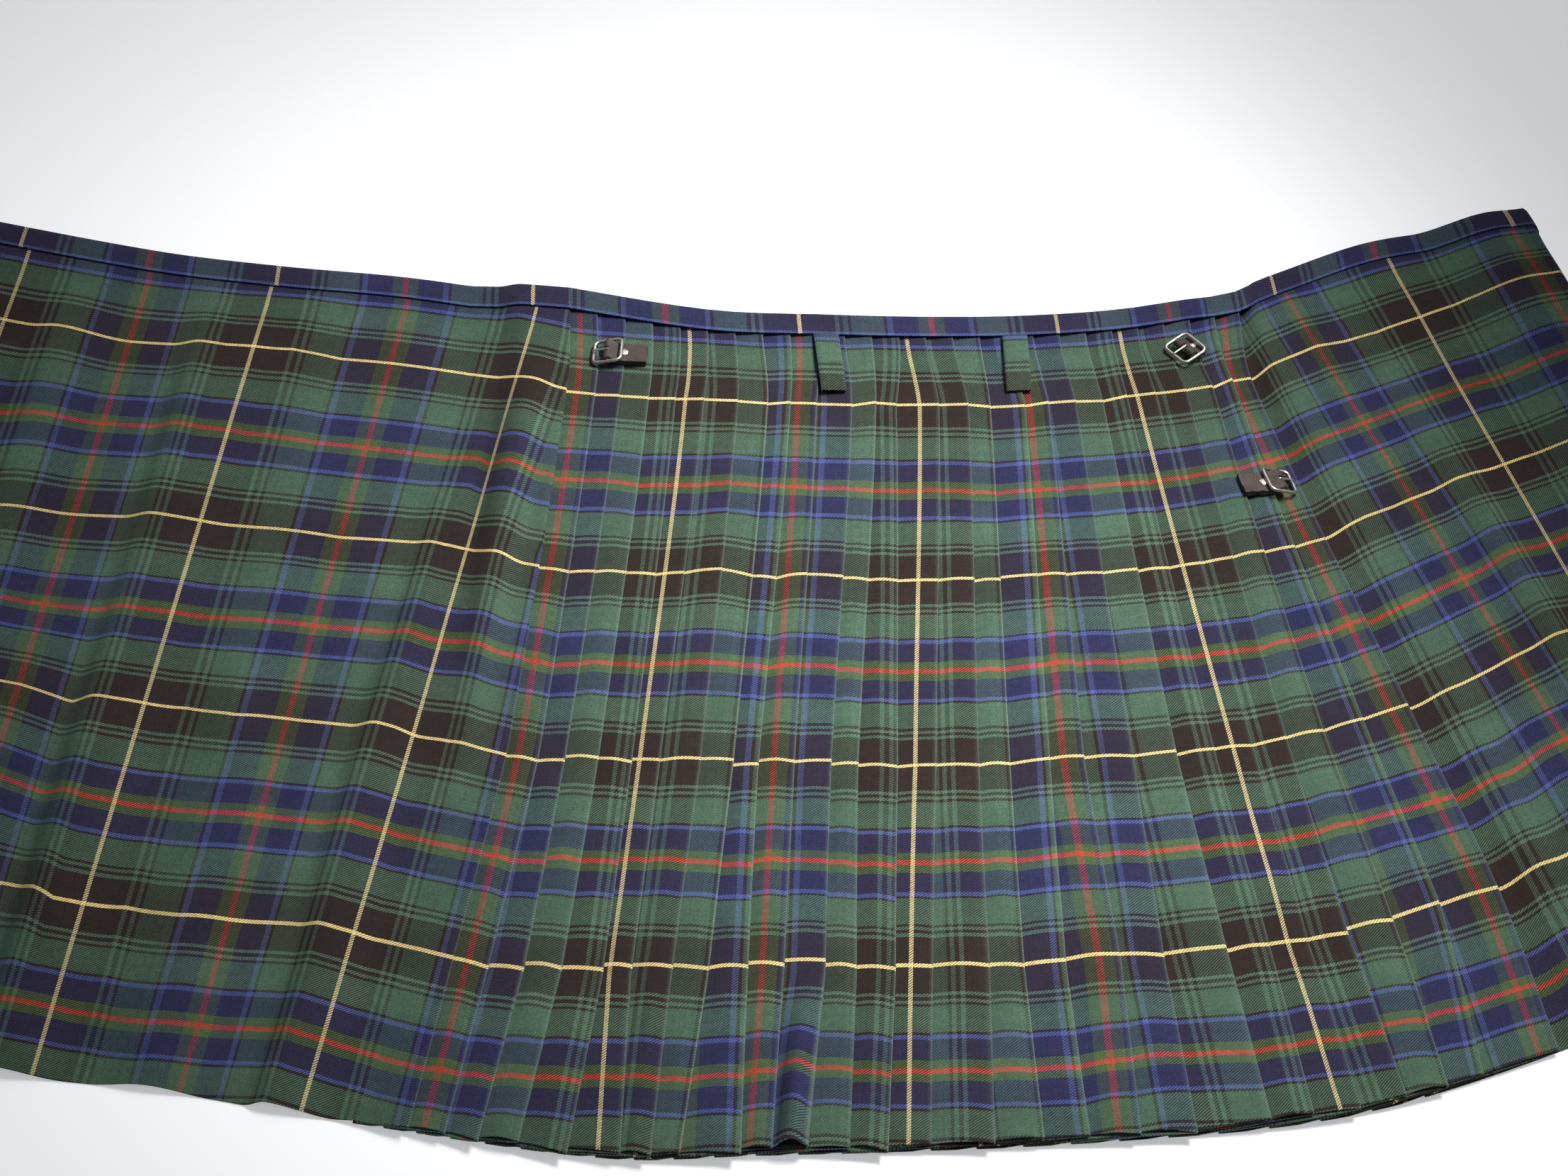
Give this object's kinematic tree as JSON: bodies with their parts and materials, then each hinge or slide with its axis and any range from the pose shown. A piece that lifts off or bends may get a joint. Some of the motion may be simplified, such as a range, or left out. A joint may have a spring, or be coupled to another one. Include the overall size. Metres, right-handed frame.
{
  "type": "scottish kilt",
  "caption": "Tartan wool kilt opened out flat: knife-pleated back, a flat apron each side, waistband, belt loops, leather straps and small buckles.",
  "frame": {"origin": "middle of the underside's bounding box, on the surface it lies on", "axes": "+X from the over apron to the under apron, +Y from the hem to the waist, +Z out of the surface"},
  "size_m": [1.173, 0.7142, 0.0206],
  "materials": {
    "tartan": "green, navy and dark brown twill with thin red, yellow and light blue lines",
    "leather": "matt dark brown strap leather",
    "metal": "bright plated steel with a warm tinge"
  },
  "bodies": {
    "kilt": {"over_apron": "tartan", "pleated_back": "tartan", "under_apron": "tartan", "waistband": "tartan", "left_loop": "tartan", "right_loop": "tartan", "over_waist_strap": "leather", "over_hip_strap": "leather", "under_strap": "leather", "left_buckle_frame": "metal", "left_buckle_tab": "leather", "left_buckle_rivet": "metal", "right_buckle_frame": "metal", "right_buckle_tab": "leather", "right_buckle_rivet": "metal", "hip_buckle_frame": "metal", "hip_buckle_tab": "leather", "hip_buckle_rivet": "metal"},
    "left_buckle_prong": {"left_buckle_prong": "metal"},
    "right_buckle_prong": {"right_buckle_prong": "metal"},
    "hip_buckle_prong": {"hip_buckle_prong": "metal"}
  },
  "joints": [
    {"name": "left_buckle_hinge", "type": "hinge", "parent": "kilt", "child": "left_buckle_prong", "pos_m": [-0.05887, 0.21286, 0.01437], "axis": [0.0523, 0.9986, 0], "range_deg": [0, 130]},
    {"name": "right_buckle_hinge", "type": "hinge", "parent": "kilt", "child": "right_buckle_prong", "pos_m": [0.24929, 0.215, 0.01456], "axis": [-0.6018, 0.7986, 0], "range_deg": [0, 130]},
    {"name": "hip_buckle_hinge", "type": "hinge", "parent": "kilt", "child": "hip_buckle_prong", "pos_m": [0.29262, 0.11099, 0.01053], "axis": [0.2419, -0.9703, 0], "range_deg": [0, 130]}
  ]
}
